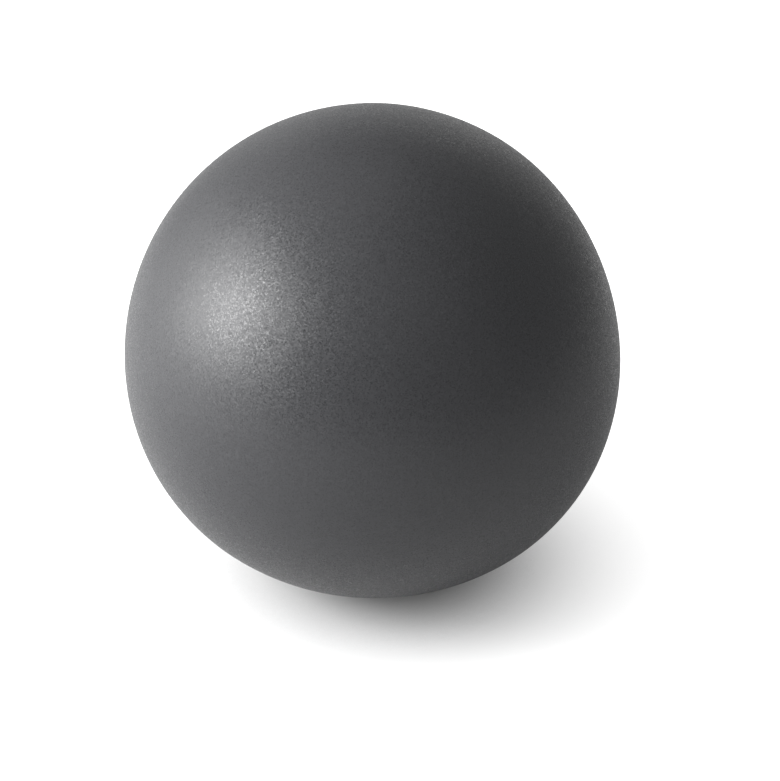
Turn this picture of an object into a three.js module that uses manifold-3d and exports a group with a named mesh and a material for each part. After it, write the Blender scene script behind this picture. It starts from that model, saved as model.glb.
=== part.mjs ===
// Soft pilates ball: a thin hollow PVC ball, blown up by mouth and closed with a push-in plug.
// Millimetres, +Z up. The origin lies on the floor, in the middle of the flat that the ball's
// own weight presses into its skin. The valve points along +Y, away from the front.

import * as THREE from "three";
import { mergeVertices, toCreasedNormals } from "three/addons/utils/BufferGeometryUtils.js";
import Module from "manifold-3d";

// Ball, blown up and standing on the floor
const BALL_DIAMETER = 260;
const SKIN_THICKNESS = 0.8;
const REST_FLAT_DIAMETER = 32; // skin that lies on the floor

// Valve neck, moulded in one with the skin and standing into the ball
const BORE_DIAMETER = 7; // takes the plug, or a straw to blow through
const BORE_LEAD_IN = 0.6; // chamfer where the bore opens into the recess
const NECK_LENGTH = 16.5; // from the ball's surface to the neck's inner end
const NECK_END_WALL = 2; // round the bore, at the inner end
const NECK_END_ROUND = 0.9;
const NECK_DRAFT = THREE.MathUtils.degToRad(9); // the neck widens towards the skin
const NECK_ROOT_FILLET = 5; // where the neck runs into the skin
const RECESS_CHAMFER = 0.5; // round the recess that the plug's head lies in

// Air plug, pushed in until its head is flush with the ball
const HEAD_LIP = 2.2; // how far the head reaches past the bore
const HEAD_THICKNESS = 1.8;
const HEAD_EDGE_ROUND = 0.5;
const STEM_LENGTH = 17; // below the head, nose included
const RIB_RADIUS = 0.65; // round sealing ribs on the stem
const RIB_PITCH = 3.6;
const NOSE_LENGTH = 3.5;
const NOSE_TAPER = 0.45; // how much thinner the stem is at its tip, on the radius
const CORE_WALL = 0.9; // round the hollow core, at the tip
const CORE_DEPTH = 12;

const PLUG_CLEARANCE = 0.3; // between the plug and the valve, all round

// Facets
const BALL_SEGMENTS = 64;
const RINGS_PER_QUARTER = 16;
const VALVE_SEGMENTS = 36;
const STEPS_PER_ROUND = 5;

// Worked out from the sizes above
const ballRadius = BALL_DIAMETER / 2;
const chamberRadius = ballRadius - SKIN_THICKNESS;
const centreHeight = Math.sqrt(ballRadius ** 2 - (REST_FLAT_DIAMETER / 2) ** 2);
const boreRadius = BORE_DIAMETER / 2;
const headRadius = boreRadius + HEAD_LIP;

const wasm = await Module();
wasm.setup();

const point = (x, y) => new THREE.Vector2(x, y);

// Points of an arc in a profile's plane, from one angle to another, both ends included.
function arc(centre, radius, from, to, steps) {
  return Array.from({ length: steps + 1 }, (_, i) => {
    const angle = from + ((to - from) * i) / steps;
    return point(centre.x + radius * Math.cos(angle), centre.y + radius * Math.sin(angle));
  });
}

// Closed body of revolution about the Y axis. Its profile runs from axis to axis, upwards outside.
function revolve(profile, segments) {
  profile.at(0).x = 0;
  profile.at(-1).x = 0;
  return new THREE.LatheGeometry(profile, segments);
}

function solidOf(geometry) {
  geometry.deleteAttribute("normal");
  geometry.deleteAttribute("uv");
  const merged = mergeVertices(geometry);
  return new wasm.Manifold(
    new wasm.Mesh({
      numProp: 3,
      vertProperties: new Float32Array(merged.attributes.position.array),
      triVerts: new Uint32Array(merged.index.array),
    }),
  );
}

function geometryOf(solid) {
  const { vertProperties, triVerts } = solid.getMesh();
  const geometry = new THREE.BufferGeometry();
  geometry.setAttribute("position", new THREE.BufferAttribute(vertProperties, 3));
  geometry.setIndex(new THREE.BufferAttribute(triVerts, 1));
  return toCreasedNormals(geometry, THREE.MathUtils.degToRad(30));
}

// Ball about the origin, cut off flat underneath at a height.
function flattenedBall(radius, flatHeight) {
  const centre = point(0, 0);
  const flatEdge = Math.asin(flatHeight / radius);
  const lower = arc(centre, radius, flatEdge, 0, RINGS_PER_QUARTER);
  const upper = arc(centre, radius, 0, Math.PI / 2, RINGS_PER_QUARTER);
  const profile = [point(0, flatHeight), ...lower, ...upper.slice(1)];
  return solidOf(revolve(profile, BALL_SEGMENTS).rotateX(Math.PI / 2));
}

// Drafted neck along +Y that flares into the chamber's wall, as a body to leave out of the air.
function valveNeck() {
  const end = point(boreRadius + NECK_END_WALL, ballRadius - NECK_LENGTH);
  const along = point(Math.sin(NECK_DRAFT), Math.cos(NECK_DRAFT)); // up the neck's side
  const away = point(Math.cos(NECK_DRAFT), -Math.sin(NECK_DRAFT)); // square to it, into the air

  // The fillet's centre is one fillet radius from the neck's side and from the chamber's wall.
  const offset = end.clone().addScaledVector(away, NECK_ROOT_FILLET);
  const reach = chamberRadius - NECK_ROOT_FILLET;
  const lift = offset.dot(along);
  const rise = Math.sqrt(lift ** 2 - offset.lengthSq() + reach ** 2) - lift;
  const filletCentre = offset.clone().addScaledVector(along, rise);
  const wallAngle = filletCentre.angle();

  const roundCentre = point(
    end.x + NECK_END_ROUND * (Math.tan(NECK_DRAFT) - 1 / Math.cos(NECK_DRAFT)),
    end.y + NECK_END_ROUND,
  );
  const profile = [
    point(0, end.y),
    ...arc(roundCentre, NECK_END_ROUND, -Math.PI / 2, -NECK_DRAFT, STEPS_PER_ROUND),
    ...arc(filletCentre, NECK_ROOT_FILLET, Math.PI - NECK_DRAFT, wallAngle, STEPS_PER_ROUND),
    point(ballRadius * Math.cos(wallAngle), ballRadius * Math.sin(wallAngle)),
    point(0, ballRadius),
  ];
  return solidOf(revolve(profile, VALVE_SEGMENTS));
}

// Bore through the neck and recess for the plug's head, as a body to cut away.
function valveHole() {
  const recessRadius = headRadius + PLUG_CLEARANCE;
  const recessFloor = ballRadius - HEAD_THICKNESS - PLUG_CLEARANCE;
  const mouthRadius = recessRadius + RECESS_CHAMFER;
  const chamferBottom = Math.sqrt(ballRadius ** 2 - mouthRadius ** 2) - RECESS_CHAMFER;
  const top = ballRadius + RECESS_CHAMFER;
  const bottom = ballRadius - NECK_LENGTH - BORE_DIAMETER;
  const profile = [
    point(0, bottom),
    point(boreRadius, bottom),
    point(boreRadius, recessFloor - BORE_LEAD_IN),
    point(boreRadius + BORE_LEAD_IN, recessFloor),
    point(recessRadius, recessFloor),
    point(recessRadius, chamferBottom),
    point(recessRadius + top - chamferBottom, top),
    point(0, top),
  ];
  return solidOf(revolve(profile, VALVE_SEGMENTS));
}

// Skin and valve neck in one piece, even in thickness over the flat that lies on the floor.
function ballShell() {
  const air = flattenedBall(chamberRadius, SKIN_THICKNESS - centreHeight).subtract(valveNeck());
  const skin = flattenedBall(ballRadius, -centreHeight).subtract(air).subtract(valveHole());
  const softPvc = new THREE.MeshStandardMaterial({ color: 0x45464a, roughness: 0.55, metalness: 0 });
  const shell = new THREE.Mesh(geometryOf(skin), softPvc);
  shell.name = "ball_shell";
  shell.position.z = centreHeight;
  return shell;
}

// Round ribs along a stem, one in the middle of each pitch that fits between two heights.
function sealingRibs(stemRadius, bottom, top) {
  const count = Math.floor((top - bottom) / RIB_PITCH);
  return Array.from({ length: count }, (_, i) => {
    const centre = point(stemRadius, bottom + (i + 0.5) * RIB_PITCH);
    return arc(centre, RIB_RADIUS, -Math.PI / 2, Math.PI / 2, STEPS_PER_ROUND);
  }).flat();
}

// Plug with a domed head, ribbed stem, tapered nose and hollow core. Its top lies at Y 0.
function airPlug() {
  const tip = -HEAD_THICKNESS - STEM_LENGTH;
  const noseTop = tip + NOSE_LENGTH;
  const stemRadius = boreRadius - PLUG_CLEARANCE - RIB_RADIUS;
  const tipRadius = stemRadius - NOSE_TAPER;
  const coreRadius = tipRadius - CORE_WALL;
  const coreEnd = point(0, tip + CORE_DEPTH - coreRadius);

  const domeCentre = point(0, -ballRadius);
  const domeAngle = Math.acos((headRadius - HEAD_EDGE_ROUND) / ballRadius);
  const dome = arc(domeCentre, ballRadius, domeAngle, Math.PI / 2, STEPS_PER_ROUND);
  const rimCentre = point(dome[0].x, dome[0].y - HEAD_EDGE_ROUND);

  const profile = [
    ...arc(coreEnd, coreRadius, Math.PI / 2, 0, STEPS_PER_ROUND),
    point(coreRadius, tip),
    point(tipRadius, tip),
    point(stemRadius, noseTop),
    ...sealingRibs(stemRadius, noseTop, -HEAD_THICKNESS),
    point(stemRadius, -HEAD_THICKNESS),
    point(headRadius, -HEAD_THICKNESS),
    ...arc(rimCentre, HEAD_EDGE_ROUND, 0, Math.PI / 2, STEPS_PER_ROUND),
    ...dome.slice(1),
  ];
  const body = geometryOf(solidOf(revolve(profile, VALVE_SEGMENTS)));
  const stiffPvc = new THREE.MeshStandardMaterial({ color: 0xd8d6cf, roughness: 0.45, metalness: 0 });
  const plug = new THREE.Mesh(body, stiffPvc);
  plug.name = "air_plug";
  return plug;
}

const valve = new THREE.Group();
valve.name = "valve";
valve.position.set(0, ballRadius, centreHeight);
valve.add(airPlug());

const pilatesBall = new THREE.Group();
pilatesBall.name = "pilates_ball";
pilatesBall.add(ballShell(), valve);

export default pilatesBall;
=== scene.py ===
"""Soft pilates ball: finished skin and plug, studio light and camera. Metres, +Z up, front at -Y."""

import math

import bpy
import numpy as np
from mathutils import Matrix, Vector, noise


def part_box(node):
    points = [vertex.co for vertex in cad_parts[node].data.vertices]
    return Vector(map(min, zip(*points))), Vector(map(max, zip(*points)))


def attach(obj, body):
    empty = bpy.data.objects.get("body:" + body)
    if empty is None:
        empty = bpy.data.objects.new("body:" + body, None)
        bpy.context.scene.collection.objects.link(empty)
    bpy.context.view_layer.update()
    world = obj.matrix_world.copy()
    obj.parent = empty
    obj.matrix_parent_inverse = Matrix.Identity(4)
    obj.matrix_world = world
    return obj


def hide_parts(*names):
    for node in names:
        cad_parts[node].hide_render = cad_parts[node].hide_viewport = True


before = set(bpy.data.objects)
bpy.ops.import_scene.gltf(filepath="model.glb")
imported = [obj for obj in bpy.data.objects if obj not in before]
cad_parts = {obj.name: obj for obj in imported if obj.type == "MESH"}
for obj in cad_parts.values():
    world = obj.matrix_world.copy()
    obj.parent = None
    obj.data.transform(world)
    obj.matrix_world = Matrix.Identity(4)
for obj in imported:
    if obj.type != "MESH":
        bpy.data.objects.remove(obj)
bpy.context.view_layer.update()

MM = 0.001

# Ball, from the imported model
shell_low, shell_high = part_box("ball_shell")
BALL_RADIUS = (shell_high.x - shell_low.x) / 2
BALL_CENTRE = Vector((0, 0, shell_high.z - BALL_RADIUS))
SKIN = 0.8 * MM

# Valve, as in the solids
BORE_RADIUS = 3.5 * MM
BORE_LEAD_IN = 0.6 * MM
NECK_LENGTH = 16.5 * MM
NECK_END_WALL = 2 * MM
NECK_END_ROUND = 0.9 * MM
NECK_DRAFT = math.radians(9)
NECK_ROOT_FILLET = 5 * MM
MOUTH_ROUND = 0.5 * MM
PLUG_CLEARANCE = 0.3 * MM

# Plug, as in the solids, and the moulding mark in the middle of its head
HEAD_LIP = 2.2 * MM
HEAD_RADIUS = BORE_RADIUS + HEAD_LIP
HEAD_THICKNESS = 1.8 * MM
HEAD_EDGE_ROUND = 0.5 * MM
STEM_LENGTH = 17 * MM
RIB_RADIUS = 0.65 * MM
RIB_PITCH = 3.6 * MM
NOSE_LENGTH = 3.5 * MM
NOSE_TAPER = 0.45 * MM
TIP_ROUND = 0.3 * MM
CORE_WALL = 0.9 * MM
CORE_DEPTH = 12 * MM
GATE_RADIUS = 0.7 * MM
GATE_DEPTH = 0.2 * MM

# Meshes
BALL_SEGMENTS = 192
OUTSIDE_RINGS = 90  # per quarter turn
INSIDE_RINGS = 24
PLUG_SEGMENTS = 72
ROUND_STEPS = 8
SHARP_ANGLE = math.radians(50)  # an edge that turns further stays sharp

# Camera
CAMERA_ELEVATION = math.radians(30)
LENS_MM = 100
SENSOR_MM = 36
IMAGE_HEIGHT = 781
BALL_RADIUS_PX = 248.35
BALL_OFFSET_PX = (-17.1, 38)  # of the ball's middle from the picture's, right and up
TO_CAMERA = Vector((0, -math.cos(CAMERA_ELEVATION), math.sin(CAMERA_ELEVATION)))
PICTURE_RIGHT = Vector((1, 0, 0))
PICTURE_UP = TO_CAMERA.cross(PICTURE_RIGHT)

# Shape of the blown-up skin
# Lobes round the picture: their number, share of the radius, and one lobe's angle from the right upwards
LOBES = (
    (2, 0.0038, math.radians(-40)),
    (3, 0.0066, math.radians(-34)),
    (4, 0.0025, math.radians(-40)),
)
WAVE_HEIGHT = 0.12 * MM
WAVE_LENGTH = 45 * MM
VALVE_STIFF = math.radians(7)  # the skin keeps its shape this far round the valve
VALVE_SOFT = math.radians(16)
FLAT_STIFF = math.radians(8)  # and this far round the middle of the flat
FLAT_SOFT = math.radians(26)

# Finish of the skin
PATCH = 14 * MM  # over which the grain comes and goes
PATCH_DETAIL = 2
PEBBLE = 0.6 * MM
PEBBLE_TILT = (0.14, 0.22)  # in weak and strong patches
SPECK = 0.55 * MM  # spots among the pebbles, some of them shiny
SPECK_SHADES = (0.4, 0.9)  # a spot's random shade at which it begins to shine, and shines in full
SKIN_ROUGHNESS = (0.46, 0.2)  # of the skin and of a speck that shines
SKIN_COLOUR = (0.0483, 0.0491, 0.0529, 1)
SPECK_COLOUR = (0.0366, 0.0372, 0.04, 1)

# Finish of the plug
CLOUD = 5 * MM
CLOUD_DETAIL = 3
CLOUD_COLOURS = ((0.64, 0.63, 0.58, 1), (0.72, 0.71, 0.66, 1))
PLUG_ROUGHNESS = (0.36, 0.46)

# Noise nodes
NOISE_ROUGHNESS = 0.6
NOISE_SPAN = (0.3, 0.7)  # within which their values mostly lie

# Soft boxes: name, azimuth from the camera to the right, elevation, distance, width, height, power
SOFT_BOXES = (
    ("key", -75, 26, 1.34, 1.5, 1.2, 23),
    ("key_middle", -73, 27, 1.28, 0.45, 0.5, 8.4),
    ("left", -100, 14, 1.5, 1.8, 1.0, 7),
    ("left_back", -140, 20, 1.7, 1.2, 1.3, 1.55),
    ("back", 180, 15, 1.8, 1.4, 1.2, 1.8),
    ("right_back", 150, 15, 1.8, 0.8, 1.0, 0.43),
    ("over", -110, 68, 2.0, 2.2, 2.0, 5.2),
    ("front", 15, 50, 1.6, 1.6, 1.0, 0.9),
    ("front_right", 45, 14, 1.6, 1.0, 0.6, 0.22),
)

# World and floor
WORLD_LEVEL = 0.3
BACKDROP_LEVEL = 0.7  # of the world where it is seen beyond the floor
FLOOR_HALF = 6
FLOOR_DROP = 0.1 * MM  # below the flat of the ball
FLOOR_COLOUR = (0.64, 0.64, 0.64, 1)
FLOOR_ROUGHNESS = 0.9
WHITE_RADIUS = 0.8  # round the ball, within which the floor glows white
FAR_RADIUS = 2.2  # from which it is as pale as the backdrop
FAR_GLOW = 0.5
MIRRORED_GLOW = 0.15
SKY_SAMPLES = 16
SKY_REACH = 1  # what stands further off than this shades nothing
SHADE_BLACK = 0.05  # share of open sky at which the floor's glow is gone
SHADE_WHITE = 1  # and at which it is whole


def arc(centre, radius, start, end, steps):
    angles = np.linspace(start, end, steps + 1)
    return np.column_stack((centre[0] + radius * np.cos(angles), centre[1] + radius * np.sin(angles)))


def skin_outside():
    """Profile from the pole opposite the valve to the end of the bore."""
    recess_radius = HEAD_RADIUS + PLUG_CLEARANCE
    mouth_angle = math.acos((recess_radius + MOUTH_ROUND) / BALL_RADIUS)
    mouth_height = BALL_RADIUS * math.sin(mouth_angle)
    mouth_centre = (recess_radius + MOUTH_ROUND, mouth_height - MOUTH_ROUND)
    recess_floor = BALL_RADIUS - HEAD_THICKNESS - PLUG_CLEARANCE
    lead_in = (BORE_RADIUS + BORE_LEAD_IN, recess_floor - BORE_LEAD_IN)
    return np.vstack((
        arc((0, 0), BALL_RADIUS, -math.pi / 2, 0, OUTSIDE_RINGS),
        arc((0, 0), BALL_RADIUS, 0, mouth_angle, OUTSIDE_RINGS)[1:],
        arc(mouth_centre, MOUTH_ROUND, math.pi / 2, math.pi, ROUND_STEPS)[1:],
        [(recess_radius, recess_floor)],
        arc(lead_in, BORE_LEAD_IN, math.pi / 2, math.pi, ROUND_STEPS),
        [(BORE_RADIUS, BALL_RADIUS - NECK_LENGTH)],
    ))


def skin_inside():
    """Profile from the neck's end, up its side and round the air chamber to the pole opposite the valve."""
    chamber_radius = BALL_RADIUS - SKIN
    end = np.array((BORE_RADIUS + NECK_END_WALL, BALL_RADIUS - NECK_LENGTH))
    along = np.array((math.sin(NECK_DRAFT), math.cos(NECK_DRAFT)))
    away = np.array((math.cos(NECK_DRAFT), -math.sin(NECK_DRAFT)))
    offset = end + NECK_ROOT_FILLET * away
    lift = offset @ along
    reach = chamber_radius - NECK_ROOT_FILLET
    rise = math.sqrt(lift ** 2 - offset @ offset + reach ** 2) - lift
    fillet_centre = offset + rise * along
    wall_angle = math.atan2(fillet_centre[1], fillet_centre[0])
    round_centre = end + NECK_END_ROUND * np.array((math.tan(NECK_DRAFT) - 1 / math.cos(NECK_DRAFT), 1))
    return np.vstack((
        arc(round_centre, NECK_END_ROUND, -math.pi / 2, -NECK_DRAFT, ROUND_STEPS),
        arc(fillet_centre, NECK_ROOT_FILLET, math.pi - NECK_DRAFT, wall_angle, ROUND_STEPS),
        arc((0, 0), chamber_radius, wall_angle, 0, INSIDE_RINGS)[1:],
        arc((0, 0), chamber_radius, 0, -math.pi / 2, INSIDE_RINGS)[1:],
    ))


def plug_profile():
    """Profile from the end of the core, round the tip, ribs and head, to the mark in the dome."""
    tip = BALL_RADIUS - HEAD_THICKNESS - STEM_LENGTH
    nose_top = tip + NOSE_LENGTH
    head_under = BALL_RADIUS - HEAD_THICKNESS
    stem_radius = BORE_RADIUS - PLUG_CLEARANCE - RIB_RADIUS
    tip_radius = stem_radius - NOSE_TAPER
    core_radius = tip_radius - CORE_WALL
    rib_count = int((head_under - nose_top) / RIB_PITCH)
    rib_centres = [(stem_radius, nose_top + (i + 0.5) * RIB_PITCH) for i in range(rib_count)]
    dome_edge = HEAD_RADIUS - HEAD_EDGE_ROUND
    dome_angle = math.acos(dome_edge / BALL_RADIUS)
    gate_angle = math.acos(GATE_RADIUS / BALL_RADIUS)
    rim_centre = (dome_edge, BALL_RADIUS * math.sin(dome_angle) - HEAD_EDGE_ROUND)
    return np.vstack((
        arc((0, tip + CORE_DEPTH - core_radius), core_radius, math.pi / 2, 0, ROUND_STEPS),
        arc((core_radius + TIP_ROUND, tip + TIP_ROUND), TIP_ROUND, math.pi, 1.5 * math.pi, ROUND_STEPS),
        arc((tip_radius - TIP_ROUND, tip + TIP_ROUND), TIP_ROUND, -math.pi / 2, 0, ROUND_STEPS),
        [(stem_radius, nose_top)],
        *(arc(centre, RIB_RADIUS, -math.pi / 2, math.pi / 2, ROUND_STEPS) for centre in rib_centres),
        [(stem_radius, head_under)],
        [(HEAD_RADIUS, head_under)],
        arc(rim_centre, HEAD_EDGE_ROUND, 0, math.pi / 2, ROUND_STEPS),
        arc((0, 0), BALL_RADIUS, dome_angle, gate_angle, ROUND_STEPS)[1:],
        [(GATE_RADIUS - GATE_DEPTH, BALL_RADIUS - GATE_DEPTH)],
        [(0, BALL_RADIUS - GATE_DEPTH)],
    ))


def revolve(profile, segments):
    """Points and faces of a closed body turned about the valve's axis. The profile runs from axis to axis.

    The last two points are the poles: the profile's start, then its end."""
    turns = np.linspace(0, 2 * math.pi, segments, endpoint=False)
    rings = profile[1:-1]
    points = np.stack((
        rings[:, :1] * np.cos(turns),
        np.repeat(rings[:, 1:], segments, axis=1),
        rings[:, :1] * np.sin(turns),
    ), axis=-1).reshape(-1, 3)
    poles = [(0, profile[0, 1], 0), (0, profile[-1, 1], 0)]
    points = np.vstack((points, poles)) + np.array(BALL_CENTRE)
    first, last = len(points) - 2, len(points) - 1
    top = (len(rings) - 1) * segments
    faces = []
    for i in range(segments):
        j = (i + 1) % segments
        faces.append((first, i, j))
        for low in range(0, top, segments):
            high = low + segments
            faces.append((low + i, high + i, high + j, low + j))
        faces.append((last, top + j, top + i))
    return points, faces


def new_piece(name, points, faces, material):
    mesh = bpy.data.meshes.new(name)
    mesh.from_pydata(points.tolist(), [], faces)
    mesh.materials.append(material)
    mesh.shade_smooth()
    mesh.set_sharp_from_angle(angle=SHARP_ANGLE)
    piece = bpy.data.objects.new(name, mesh)
    bpy.context.scene.collection.objects.link(piece)
    return piece


def eased(angle, start, end):
    """Share that grows smoothly from 0 to 1 between two angles."""
    share = np.clip((angle - start) / (end - start), 0, 1)
    return share ** 2 * (3 - 2 * share)


def swell(points):
    """How far the skin stands out of a true ball at each point: slight lobes and soft waves."""
    directions = points - np.array(BALL_CENTRE)
    directions /= np.linalg.norm(directions, axis=1)[:, None]
    across = directions @ np.array(PICTURE_RIGHT) + 1j * (directions @ np.array(PICTURE_UP))
    height = np.zeros(len(points))
    for count, share, way in LOBES:
        height += share * BALL_RADIUS * ((across * np.exp(-1j * way)) ** count).real
    waves = [noise.noise(Vector(d) * (BALL_RADIUS / WAVE_LENGTH)) for d in directions]
    height += WAVE_HEIGHT * np.array(waves)
    from_valve = np.arccos(np.clip(directions[:, 1], -1, 1))
    from_flat = np.arccos(np.clip(-directions[:, 2], -1, 1))
    height *= eased(from_valve, VALVE_STIFF, VALVE_SOFT) * eased(from_flat, FLAT_STIFF, FLAT_SOFT)
    return directions * height[:, None]


def ball_piece(material):
    """The skin, pressed flat where it stands: its outside on the floor, its inside a wall above."""
    outside, inside = skin_outside(), skin_inside()
    points, faces = revolve(np.vstack((outside, inside)), BALL_SEGMENTS)
    points = points + swell(points)
    lowest = np.full(len(points), SKIN)
    lowest[:(len(outside) - 1) * BALL_SEGMENTS] = 0
    lowest[-2] = 0  # the outside's own pole
    points[:, 2] = np.maximum(points[:, 2], lowest)
    return new_piece("ball_skin", points, faces, material)


def plug_piece(material):
    points, faces = revolve(plug_profile(), PLUG_SEGMENTS)
    return new_piece("air_plug_finished", points, faces, material)


def new_material(name):
    material = bpy.data.materials.new(name)
    material.use_nodes = True
    return material, material.node_tree, material.node_tree.nodes["Principled BSDF"]


def add_node(tree, kind, settings=None, **inputs):
    node = tree.nodes.new(kind)
    for key, value in (settings or {}).items():
        setattr(node, key, value)
    for key, value in inputs.items():
        node.inputs[key.replace("_", " ")].default_value = value
    return node


def own_place(tree):
    """Place on the piece, in metres."""
    return tree.nodes.new("ShaderNodeTexCoord").outputs["Object"]


def noise_node(tree, wavelength, detail, place):
    node = add_node(tree, "ShaderNodeTexNoise",
                    Scale=1 / wavelength, Detail=detail, Roughness=NOISE_ROUGHNESS)
    tree.links.new(place, node.inputs["Vector"])
    return node.outputs["Fac"]


def ranged(tree, value, low, high, start, end):
    """Value carried from the range start..end to the range low..high."""
    node = add_node(tree, "ShaderNodeMapRange", From_Min=start, From_Max=end, To_Min=low, To_Max=high)
    tree.links.new(value, node.inputs["Value"])
    return node.outputs["Result"]


def mixed_colour(tree, share, first, second):
    """Colour that goes from the first to the second as the share grows."""
    node = add_node(tree, "ShaderNodeMix", {"data_type": "RGBA"})
    node.inputs["A"].default_value = first
    node.inputs["B"].default_value = second
    tree.links.new(share, node.inputs["Factor"])
    return node.outputs["Result"]


def vector_math(tree, operation, first, second=None):
    """Vector node whose inputs are sockets or plain values."""
    node = add_node(tree, "ShaderNodeVectorMath", {"operation": operation})
    for socket, value in zip(node.inputs, (first, second)):
        if isinstance(value, bpy.types.NodeSocket):
            tree.links.new(value, socket)
        elif value is not None:
            socket.default_value = value
    return node


def cells(tree, size, place):
    """One random colour for each small cell of the surface."""
    node = add_node(tree, "ShaderNodeTexVoronoi", Scale=1 / size)
    tree.links.new(place, node.inputs["Vector"])
    return node.outputs["Color"]


def grained_normal(tree, place, tilt):
    """Surface direction of a pebbled skin: each pebble leans its own way, by up to half of the tilt."""
    centred = vector_math(tree, "SUBTRACT", cells(tree, PEBBLE, place), (0.5, 0.5, 0.5))
    lean = vector_math(tree, "SCALE", centred.outputs["Vector"])
    tree.links.new(tilt, lean.inputs["Scale"])
    smooth = tree.nodes.new("ShaderNodeNewGeometry").outputs["Normal"]
    leaning = vector_math(tree, "ADD", smooth, lean.outputs["Vector"]).outputs["Vector"]
    return vector_math(tree, "NORMALIZE", leaning).outputs["Vector"]


def skin_material():
    """Dark grey soft PVC: a satin skin of pebbles that come and go in patches, with shiny specks."""
    material, tree, shader = new_material("soft_pvc_skin")
    place = own_place(tree)
    patches = noise_node(tree, PATCH, PATCH_DETAIL, place)
    tilt = ranged(tree, patches, *PEBBLE_TILT, *NOISE_SPAN)
    specks = ranged(tree, cells(tree, SPECK, place), 0, 1, *SPECK_SHADES)
    colour = mixed_colour(tree, specks, SKIN_COLOUR, SPECK_COLOUR)
    tree.links.new(colour, shader.inputs["Base Color"])
    tree.links.new(ranged(tree, specks, *SKIN_ROUGHNESS, 0, 1), shader.inputs["Roughness"])
    tree.links.new(grained_normal(tree, place, tilt), shader.inputs["Normal"])
    return material


def plug_material():
    """Off-white moulded plastic, a little cloudy."""
    material, tree, shader = new_material("plug_plastic")
    cloud = noise_node(tree, CLOUD, CLOUD_DETAIL, own_place(tree))
    tree.links.new(mixed_colour(tree, cloud, *CLOUD_COLOURS), shader.inputs["Base Color"])
    tree.links.new(ranged(tree, cloud, *PLUG_ROUGHNESS, *NOISE_SPAN), shader.inputs["Roughness"])
    return material


def floor_glow(tree):
    """Strength of the floor's glow: white round the ball, pale far off, and faint in reflections."""
    ray = tree.nodes.new("ShaderNodeLightPath")
    away = vector_math(tree, "LENGTH", own_place(tree)).outputs["Value"]
    bounced = add_node(tree, "ShaderNodeMath", {"operation": "ADD"})
    tree.links.new(ray.outputs["Is Glossy Ray"], bounced.inputs[0])
    tree.links.new(ray.outputs["Is Transmission Ray"], bounced.inputs[1])
    glow = add_node(tree, "ShaderNodeMath", {"operation": "MULTIPLY_ADD"})
    tree.links.new(ray.outputs["Is Camera Ray"], glow.inputs[0])
    tree.links.new(ranged(tree, away, 1, FAR_GLOW, WHITE_RADIUS, FAR_RADIUS), glow.inputs[1])
    tree.links.new(ranged(tree, bounced.outputs["Value"], 0, MIRRORED_GLOW, 0, 1), glow.inputs[2])
    return glow.outputs["Value"]


def floor_shade(tree):
    """Colour of the floor's glow: white under the open sky, darker where the ball shuts it out."""
    sky = add_node(tree, "ShaderNodeAmbientOcclusion", {"samples": SKY_SAMPLES}, Distance=SKY_REACH)
    shade = add_node(tree, "ShaderNodeMapRange", {"interpolation_type": "SMOOTHSTEP"},
                     From_Min=SHADE_BLACK, From_Max=SHADE_WHITE)
    tree.links.new(sky.outputs["AO"], shade.inputs["Value"])
    return shade.outputs["Result"]


def floor_material():
    """Pale floor that also glows where it is seen, but not in the ball's shade."""
    material, tree, shader = new_material("white_floor")
    shader.inputs["Base Color"].default_value = FLOOR_COLOUR
    shader.inputs["Roughness"].default_value = FLOOR_ROUGHNESS
    shader.inputs["Specular IOR Level"].default_value = 0
    tree.links.new(floor_shade(tree), shader.inputs["Emission Color"])
    tree.links.new(floor_glow(tree), shader.inputs["Emission Strength"])
    return material


def white_floor():
    corners = FLOOR_HALF * np.array([(-1, -1, 0), (1, -1, 0), (1, 1, 0), (-1, 1, 0)], float)
    corners[:, 2] = -FLOOR_DROP
    floor = new_piece("floor", corners, [(0, 1, 2, 3)], floor_material())


def soft_box(name, azimuth, elevation, distance, width, height, power):
    light = bpy.data.lights.new(name, "AREA")
    light.shape = "RECTANGLE"
    light.size = width
    light.size_y = height
    light.energy = power
    turn, rise = math.radians(azimuth), math.radians(elevation)
    towards = Vector((math.sin(turn) * math.cos(rise), -math.cos(turn) * math.cos(rise), math.sin(rise)))
    lamp = bpy.data.objects.new(name, light)
    lamp.visible_camera = False
    lamp.location = BALL_CENTRE + distance * towards
    lamp.rotation_euler = towards.to_track_quat("Z", "Y").to_euler()
    bpy.context.scene.collection.objects.link(lamp)


def studio_light():
    for box in SOFT_BOXES:
        soft_box(*box)
    world = bpy.data.worlds.new("studio")
    world.use_nodes = True
    tree = world.node_tree
    background = tree.nodes["Background"]
    background.inputs["Color"].default_value = (1, 1, 1, 1)
    seen = tree.nodes.new("ShaderNodeLightPath").outputs["Is Camera Ray"]
    level = ranged(tree, seen, WORLD_LEVEL, BACKDROP_LEVEL, 0, 1)
    tree.links.new(level, background.inputs["Strength"])
    bpy.context.scene.world = world


def camera():
    focal_px = LENS_MM / SENSOR_MM * IMAGE_HEIGHT
    distance = math.hypot(focal_px / BALL_RADIUS_PX, 1) * BALL_RADIUS
    metres_per_px = distance / focal_px
    right, up = (-metres_per_px * offset for offset in BALL_OFFSET_PX)
    camera_data = bpy.data.cameras.new("camera")
    camera_data.lens = LENS_MM
    camera_data.sensor_width = SENSOR_MM
    camera_object = bpy.data.objects.new("camera", camera_data)
    shift = right * PICTURE_RIGHT + up * PICTURE_UP
    camera_object.location = BALL_CENTRE + distance * TO_CAMERA + shift
    camera_object.rotation_euler = TO_CAMERA.to_track_quat("Z", "Y").to_euler()
    bpy.context.scene.collection.objects.link(camera_object)
    bpy.context.scene.camera = camera_object


camera()
ball = ball_piece(skin_material())
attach(ball, "ball")
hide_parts("ball_shell")

plug = plug_piece(plug_material())
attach(plug, "plug")
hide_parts("air_plug")

white_floor()
studio_light()
bpy.context.scene.view_settings.view_transform = "Standard"
